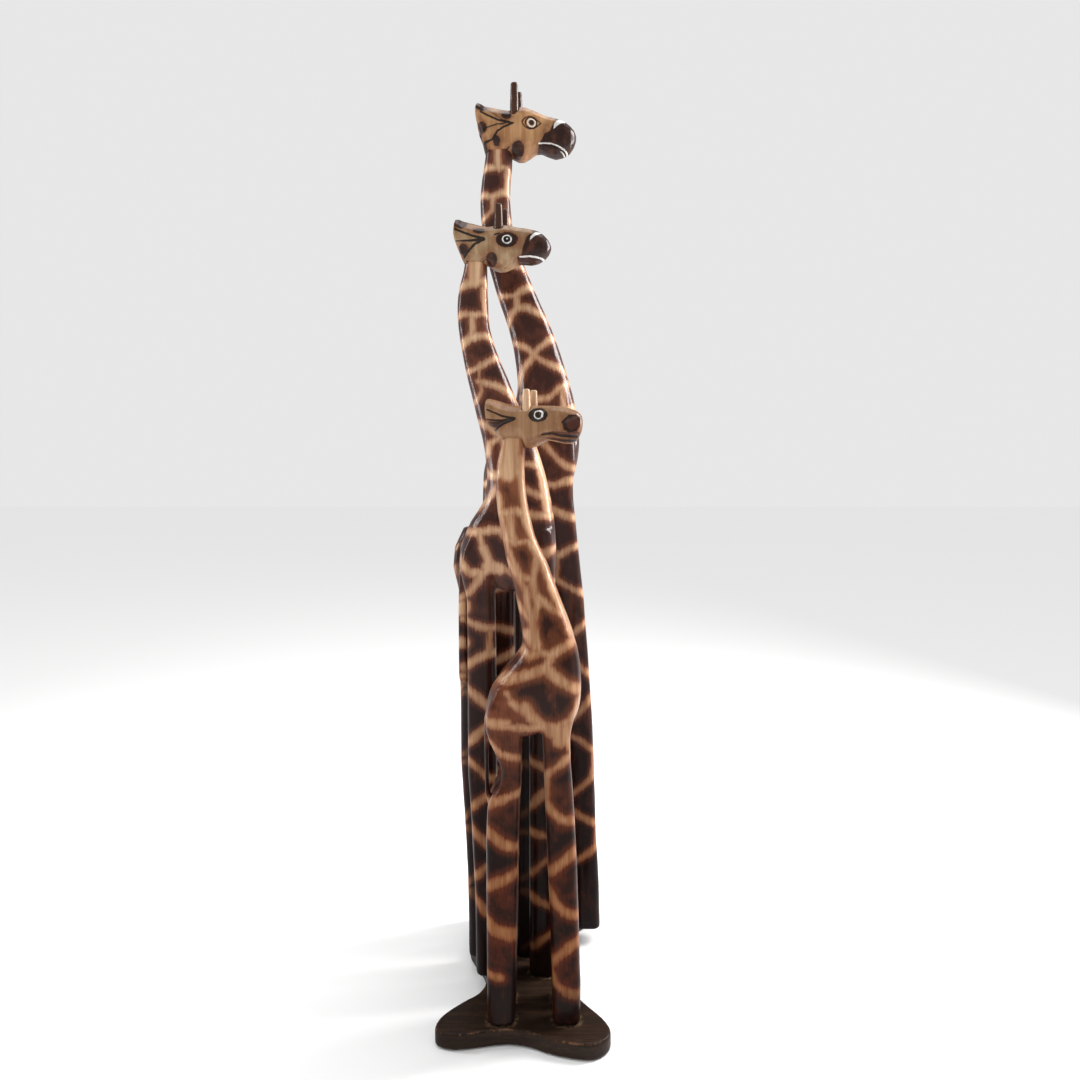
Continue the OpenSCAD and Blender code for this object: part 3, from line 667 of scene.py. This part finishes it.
def burnt_wood(name, light, dark, edge_char, core_char, blur):
    """Pale wood burnt dark between light lines.

    Field burn is the distance from the light lines, brown marks lightly burnt patches. Two fields
    carry
    painted shade: one darkens the wood towards the feet and thins the lacquer there, the other
    darkens the faces that look into the gap between the near and far legs and also holds the feet's
    own dark colour. edge_char is the burning's colour at a patch's rim, core_char the one in its
    middle, and blur softens the rim.
    """
    s = Shader(name)
    wood, fibre, streak = wood_grain(s, light, dark)
    # painted shade that deepens towards the feet; it also thins the lacquer there
    shade_towards_feet = s.field("shade_towards_feet")
    bleed = s.noise(s.stretched(1, 1, 0.06), 620, 4, 0.7)
    wobble = s.noise(s.stretched(1, 1, 0.5), 90, 3)
    edge = s.math("ADD", s.field("burn"), s.swing(bleed, 7.0))
    edge = s.math("ADD", edge, s.swing(wobble, 4.0))
    smoke = s.noise(s.stretched(1, 1, 0.55), 55, 4, 0.6)
    scorch = s.mix(wood, shaded(edge_char, 1.6), s.step(edge, -4.5, 0.8, 0, 0.8))
    core = s.mix(core_char, shaded(core_char, 0.42), shade_towards_feet)
    char = s.mix(edge_char, core, s.step(edge, 0.5, 5.0 + 3.0 * blur))
    char = s.mix(char, edge_char, s.step(smoke, 0.48, 0.70, 0, 0.55 + 0.2 * blur))
    cloud = s.noise(s.stretched(1, 1, 0.8), 75, 5, 0.65)
    lighter = s.math("MULTIPLY", s.field("brown"), s.step(cloud, 0.36, 0.60, 0.225, 0.9))
    char = s.mix(char, shaded(edge_char, 1.6), lighter)
    char = s.mix(char, shaded(core_char, 0.5), s.step(fibre, 0.45, 0.75, 0, 0.5))
    char = s.mix(char, (0.74, 0.58, 0.50), shade_towards_feet, "MULTIPLY")
    color = s.mix(scorch, char, s.step(edge, -0.4 - 0.7 * blur, 1.0 + 0.7 * blur))
    color = s.mix(color, (0.47, 0.310, 0.205), shade_towards_feet, "MULTIPLY")
    # painted shade between the near and far legs, together with the feet's own dark colour
    color = s.mix(color, (0.012, 0.007, 0.006), s.field("gap_shade_and_dark_feet"))
    rough = s.step(streak, 0.3, 0.7, 0.32, 0.48)
    brush = s.noise(s.stretched(1, 1, 0.12), 130, 3, 0.5)
    normal = s.bump((fibre, 0.35, 0.0002), (brush, 0.5, 0.0012))
    coat = s.step(shade_towards_feet, 0.0, 1.0, 0.40, 0.07)
    return s.finish(color, rough, normal, coat, 0.11)


def painted_head(name, light, dark):
    """Tan wood with soft burnt spots, hand-painted dark, red and white strokes, and a painted glint
    in the pupil.
    """
    s = Shader(name)
    wood, fibre, streak = wood_grain(s, light, dark)
    bleed = s.noise(s.stretched(1, 1, 0.12), 560, 4, 0.7)
    hand = s.noise(s.stretched(1, 1, 1), 420, 3, 0.6)
    shake = s.swing(hand, 1.1)
    soft = s.math("ADD", s.field("burnt"), s.swing(bleed, 2.6))
    blot = s.noise(s.stretched(1, 1, 1), 110, 4)
    char = s.mix((0.030, 0.0135, 0.0105), (0.085, 0.032, 0.020), s.step(blot, 0.48, 0.70))
    haze = s.math("MULTIPLY", s.step(blot, 0.36, 0.62, 0.28, 0.8), s.field("smoke"))
    color = s.mix(wood, (0.165, 0.066, 0.030), haze)
    color = s.mix(color, (0.24, 0.095, 0.042), s.step(soft, 4.5, 0.0, 0, 0.6))
    color = s.mix(color, char, s.step(soft, 0.8, -0.6))
    red = s.math("ADD", s.field("red"), shake)
    color = s.mix(color, (0.080, 0.026, 0.017), s.step(red, 0.5, -0.3, 0, 0.9))
    ink = s.math("ADD", s.field("ink"), shake)
    color = s.mix(color, (0.014, 0.010, 0.009), s.step(ink, 0.35, -0.25, 0, 0.95))
    white = s.math("ADD", s.field("white"), s.math("MULTIPLY", shake, 0.8))
    chalk = s.mix((0.80, 0.78, 0.74), (0.52, 0.48, 0.42), s.step(hand, 0.5, 0.75))
    color = s.mix(color, chalk, s.step(white, 0.25, -0.2, 0, 0.94))
    rough = s.step(streak, 0.3, 0.7, 0.32, 0.48)
    brush = s.noise(s.stretched(1, 1, 0.3), 150, 3, 0.5)
    paint = s.step(white, 0.3, -0.3)
    normal = s.bump((fibre, 0.3, 0.0002), (brush, 0.4, 0.0010), (paint, 0.5, 0.0002))
    return s.finish(color, rough, normal, 0.32, 0.13)


def stained_base(name):
    """Dark stained board: grain, reddish worn edges, dusty rims round the feet."""
    s = Shader(name)
    turned = s.stretched(0.06, 1, 1)
    fibre = s.noise(turned, 700, 5, 0.6)
    streak = s.noise(turned, 130, 4, 0.6, 0.6)
    blot = s.noise(s.stretched(1, 1, 1), 26, 4, 0.6)
    color = s.mix((0.019, 0.0108, 0.0072), (0.032, 0.0170, 0.0105), s.step(streak, 0.38, 0.68))
    color = s.mix(color, (0.0075, 0.005, 0.004), s.step(fibre, 0.48, 0.7, 0, 0.6))
    color = s.mix(color, (0.036, 0.019, 0.011), s.step(blot, 0.52, 0.78, 0, 0.25))
    chip = s.noise(s.stretched(1, 1, 1), 240, 5, 0.65)
    patch = s.noise(s.stretched(1, 1, 1), 38, 3, 0.6)
    worn = s.math("MULTIPLY", s.field("rub"), s.step(s.math("ADD", chip, patch), 1.0, 1.18))
    color = s.mix(color, (0.15, 0.072, 0.038), worn)
    rim = s.math("MULTIPLY", s.field("rim"), s.step(chip, 0.40, 0.62, 0, 0.5))
    color = s.mix(color, (0.16, 0.10, 0.055), rim)
    rough = s.step(blot, 0.3, 0.7, 0.34, 0.52)
    normal = s.bump((fibre, 0.5, 0.0003), (streak, 0.4, 0.0008))
    return s.finish(color, rough, normal, 0.08, 0.16)


def plain_dowel(name, light, dark, char):
    """A lacquered rod, smoke-darkened by char (0 pale, 1 burnt)."""
    s = Shader(name)
    wood, fibre, streak = wood_grain(s, light, dark)
    smoke = s.noise(s.stretched(1, 1, 0.25), 120, 4, 0.6)
    burnt = s.mix((0.036, 0.0155, 0.011), (0.095, 0.036, 0.020), s.step(smoke, 0.46, 0.72))
    color = s.mix(wood, burnt, char)
    rough = s.step(streak, 0.3, 0.7, 0.28, 0.42)
    brush = s.noise(s.stretched(1, 1, 0.2), 260, 3, 0.5)
    return s.finish(color, rough, s.bump((fibre, 0.3, 0.0002), (brush, 0.4, 0.0006)), 0.4, 0.12)


def screw_steel(name):
    """Dull bright steel with fine turning marks."""
    s = Shader(name)
    swirl = s.noise(s.stretched(1, 1, 1), 900, 4)
    color = s.mix((0.56, 0.55, 0.53), (0.36, 0.35, 0.33), s.step(swirl, 0.4, 0.7))
    rough = s.step(swirl, 0.3, 0.7, 0.32, 0.5)
    return s.finish(color, rough, s.bump((swirl, 0.3, 0.0001)), metal=1.0)


def give(piece, material):
    """Gives the piece its one material."""
    piece.data.materials.clear()
    piece.data.materials.append(material)


# ---------------------------------------------------------------- the three bodies

def burn_field(at, lines):
    """Distance in mm from the nearest light line's edge, negative inside a line."""
    best = np.full(len(at), PLAIN)
    for width, *points in lines:
        for a, b in zip(*segments_of(points)):
            best = np.minimum(best, along_segment(at, a, b)[0] - width / 2 - 0.5)
    return best


def make_body(who, lines, brown, seed):
    """The carved body with its burning; depth runs from 0 on the near side to 1 on the far one."""
    piece = refined(who + "_body", who + "_carved_body", BODY_VOXEL, 7, NECK_TUCK)
    carved_surface(piece, seed, BODY_CUT)
    p, n = points_of(piece), normals_of(piece)
    low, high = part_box(who + "_body")
    depth = (p[:, 1] - low.y / MM) / ((high.y - low.y) / MM)
    lift = FAR_SHIFT * smoothstep(0.30, 0.75, depth)
    sway = 1.6 * (soft_noise(p, (20, 20, 20), seed + 5) - 0.5)
    height = p[:, 2] - BASE_TOP
    at = np.column_stack([p[:, 0] + sway, height + lift + sway])
    swell = 2.4 * (soft_noise(p, (16, 16, 16), seed + 6) - 0.5)
    set_field(piece, "burn", burn_field(at, lines) + swell)
    light_burn = np.zeros(len(p))
    for x, z, half_w, half_h, strength in brown:
        inside = smoothstep(1.25, 0.55, oval_reach(at, x, z, half_w, half_h))
        light_burn = np.maximum(light_burn, strength * inside)
    set_field(piece, "brown", light_burn)
    # painted shade: the colour darkens towards the feet
    set_field(piece, "shade_towards_feet", smoothstep(620, 60, height))
    # painted shade on the faces that look into the gap between near and far legs, and the feet's
    # own dark colour, darkest at the very bottom
    inward = n[:, 1] * np.sign(0.5 - depth)
    inner = smoothstep(0.2, 0.9, inward) * smoothstep(0.16, 0.10, np.abs(depth - 0.5))
    ragged = height + 14 * (soft_noise(p, (9, 9, 30), seed + 8) - 0.5)
    foot = 0.45 * smoothstep(58, 26, ragged) + 0.3 * smoothstep(12, 2, ragged)
    set_field(piece, "gap_shade_and_dark_feet", np.clip(0.75 * inner + foot, 0, 0.85))
    return piece


WOOD_LIGHT = (0.70, 0.46, 0.285)
WOOD_DARK = (0.50, 0.285, 0.150)
deep_burnt = burnt_wood(
    "deep_burnt_wood", WOOD_LIGHT, WOOD_DARK,
    edge_char=(0.150, 0.050, 0.028), core_char=(0.052, 0.0195, 0.0150), blur=0.3,
)
soft_burnt = burnt_wood(
    "soft_burnt_wood", (0.62, 0.39, 0.23), (0.40, 0.21, 0.105),
    edge_char=(0.185, 0.063, 0.028), core_char=(0.046, 0.0165, 0.0120), blur=1.2,
)
BODIES = (
    ("tall", TALL_LINES, TALL_BROWN, deep_burnt),
    ("medium", MEDIUM_LINES, MEDIUM_BROWN, deep_burnt),
    ("small", SMALL_LINES, SMALL_BROWN, soft_burnt),
)
for number, (who, lines, brown, wood) in enumerate(BODIES):
    give(make_body(who, lines, brown, SEED + 40 * number), wood)


# ---------------------------------------------------------------- the three heads

def head_points(who, p):
    """Points in the head's own plane: x along it, z above its joint, with its turn undone."""
    dowel_low, dowel_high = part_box(who + "_neck_dowel")
    neck = (dowel_low + dowel_high) / 2 / MM
    turn = math.radians(HEADS[who]["turn"])
    dx, dy = p[:, 0] - neck.x, p[:, 1] - neck.y
    x = dx * math.cos(turn) - dy * math.sin(turn) + neck.x
    return np.column_stack([x, p[:, 2] - neck.z])


def carve_head(piece, who, seed):
    """Cuts the knife facets, grooves and hollows of a head, on its two sides only."""
    head = HEADS[who]
    carved_surface(piece, seed, HEAD_CUT)
    p, n = points_of(piece), normals_of(piece)
    at = head_points(who, p)
    side = smoothstep(0.25, 0.6, np.abs(n[:, 1]))
    cut = np.zeros(len(p))
    for depth, width, *points in head["carve"]:
        d = line_distance(at, points, 0, 0)
        cut = np.maximum(cut, depth * np.exp(-(d / width) ** 2))
    for depth, shape in head["hollows"]:
        cut = np.maximum(cut, depth * smoothstep(0.8, -2.6, shape_distance(at, shape)))
    for x, z, half_w, half_h, depth in head["brows"]:
        r = oval_reach(at, x, z, half_w, half_h)
        cut = cut + 0.9 * depth * smoothstep(0.3, 1.0, r) * smoothstep(1.9, 1.0, r)
    set_points(piece, p - n * (cut * side)[:, None])


def make_head(who, seed):
    """The carved head with its paint; smoke gathers at the rims and round the burnt spots."""
    head = HEADS[who]
    piece = refined(who + "_head", who + "_carved_head", HEAD_VOXEL, 6)
    carve_head(piece, who, seed)
    at = head_points(who, points_of(piece))
    for layer in ("burnt", "ink", "red", "white"):
        set_field(piece, layer, nearest_shape(at, head[layer]))
    rim = smoothstep(0.93, 0.45, np.abs(normals_of(piece)[:, 1]))
    near_dark = smoothstep(12, 2, nearest_shape(at, head["burnt"]))
    smoke = 0.08 + 0.5 * rim + 0.3 * near_dark
    for x, z, half_w, half_h, strength in head["shade"]:
        smoke = smoke + strength * smoothstep(1.2, 0.3, oval_reach(at, x, z, half_w, half_h))
    set_field(piece, "smoke", np.clip(smoke, 0, 1))
    give(piece, painted_head(who + "_head_wood", head["tint"], head["tint_dark"]))


for number, who in enumerate(HEADS):
    make_head(who, SEED + 400 + 10 * number)


# ---------------------------------------------------------------- horns, dowels, screws

burnt_rod = plain_dowel("burnt_rod", (0.30, 0.15, 0.07), (0.16, 0.075, 0.036), 0.9)
pale_rod = plain_dowel("pale_rod", (0.68, 0.46, 0.29), (0.42, 0.23, 0.12), 0.0)
for number, who in enumerate(HEADS):
    for side in ("near", "far"):
        node = f"{who}_{side}_horn"
        horn = refined(node, node + "_rod", HORN_VOXEL, 5)
        p, n = points_of(horn), normals_of(horn)
        set_points(horn, p - n * (HORN_CUT * soft_noise(p, (4, 4, 9), SEED + number))[:, None])
        if who == "small":
            give(horn, pale_rod)
        else:
            give(horn, burnt_rod)

hidden_rod = plain_dowel("raw_dowel", (0.72, 0.56, 0.36), (0.58, 0.42, 0.25), 0.0)
steel = screw_steel("screw_steel")
for who in HEADS:
    give(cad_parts[who + "_neck_dowel"], hidden_rod)
    give(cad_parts[who + "_foot_screws"], steel)


# ---------------------------------------------------------------- the base

def feet_tree():
    """All feet as one search tree."""
    corners, faces = [], []
    for who in HEADS:
        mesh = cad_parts[who + "_body"].data
        start = len(corners)
        corners += [v.co.copy() for v in mesh.vertices]
        faces += [[start + i for i in f.vertices] for f in mesh.polygons]
    return BVHTree.FromPolygons(corners, faces)


def make_base():
    """The board: rub marks its worn edges, rim the glue line round each foot."""
    piece = refined("base_board", "stained_base", BASE_VOXEL, 6)
    carved_surface(piece, SEED + 900, BASE_CUT)
    p, n = points_of(piece), normals_of(piece)
    # an edge is worn most where its surface faces about 50 degrees from upright
    rub = np.exp(-(((np.abs(n[:, 2]) - 0.64) / 0.19) ** 2))
    set_field(piece, "rub", np.where(p[:, 2] > 2, rub, 0.4 * rub))
    feet = feet_tree()
    gap = np.full(len(p), FAR_OFF)
    for i in np.nonzero(p[:, 2] > BASE_TOP - 2.5)[0]:
        found = feet.find_nearest(Vector((*p[i, :2], BASE_TOP + 1)) * MM, 0.006)[3]
        if found is not None:
            gap[i] = found / MM
    set_field(piece, "rim", smoothstep(3.4, 1.2, gap))
    give(piece, stained_base("stained_base"))


make_base()


# ---------------------------------------------------------------- studio

def add_light(name, place, aim, width, height, power, color=(1, 1, 1), glossy=True):
    """A soft window of the given size at place, facing aim."""
    data = bpy.data.lights.new(name, "AREA")
    data.shape = "RECTANGLE"
    data.size, data.size_y = width, height
    data.energy = power
    data.color = color
    light = bpy.data.objects.new(name, data)
    light.location = place
    light.visible_glossy = glossy
    light.rotation_euler = (Vector(aim) - Vector(place)).to_track_quat("-Z", "Y").to_euler()
    bpy.context.scene.collection.objects.link(light)


def make_floor():
    mesh = bpy.data.meshes.new("studio_floor")
    b = bmesh.new()
    bmesh.ops.create_grid(b, x_segments=8, y_segments=8, size=8)
    b.to_mesh(mesh)
    b.free()
    floor = bpy.data.objects.new("studio_floor", mesh)
    floor.location = (0, 0, -0.0005)
    bpy.context.scene.collection.objects.link(floor)
    s = Shader("studio_floor")
    s.finish((0.86, 0.86, 0.86, 1), 0.9, None)
    mesh.materials.append(s.material)


def make_world():
    """A soft grey surround that shows as a near-white wall behind the object."""
    world = bpy.data.worlds.new("studio")
    world.use_nodes = True
    tree = world.node_tree
    back = tree.nodes["Background"]
    back.inputs["Color"].default_value = (1, 1, 1, 1)
    ray = tree.nodes.new("ShaderNodeLightPath")
    strength = tree.nodes.new("ShaderNodeMapRange")
    strength.inputs["To Min"].default_value = 0.35
    strength.inputs["To Max"].default_value = 0.80
    tree.links.new(ray.outputs["Is Camera Ray"], strength.inputs["Value"])
    tree.links.new(strength.outputs[0], back.inputs["Strength"])
    bpy.context.scene.world = world


make_floor()
make_world()
add_light("front", (-0.5, -1.6, 1.6), (0, 0, 0.85), 1.2, 1.2, 9.5, glossy=False)
add_light("window_right", (1.05, 0.34, 1.1), (0, 0, 0.64), 0.40, 1.1, 32, (1, 0.98, 0.97))
add_light("window_left", (-1.15, 0.12, 0.95), (0, 0, 0.6), 0.10, 1.1, 8)

sun_data = bpy.data.lights.new("overhead", "SUN")
sun_data.energy = 1.8
sun_data.angle = math.radians(50)
sun = bpy.data.objects.new("overhead", sun_data)
sun.rotation_euler = (math.radians(-8), math.radians(6), 0)
bpy.context.scene.collection.objects.link(sun)

bpy.context.scene.view_settings.view_transform = "Standard"

# The camera stands a little above the middle, level with the medium giraffe's body
camera_data = bpy.data.cameras.new("camera")
camera_data.sensor_width = 36
camera_data.lens = 28.33
camera = bpy.data.objects.new("camera", camera_data)
camera.location = (0.016, -0.9047, 0.593)
camera.rotation_euler = (math.radians(83.956), 0, 0)
bpy.context.scene.collection.objects.link(camera)
bpy.context.scene.camera = camera
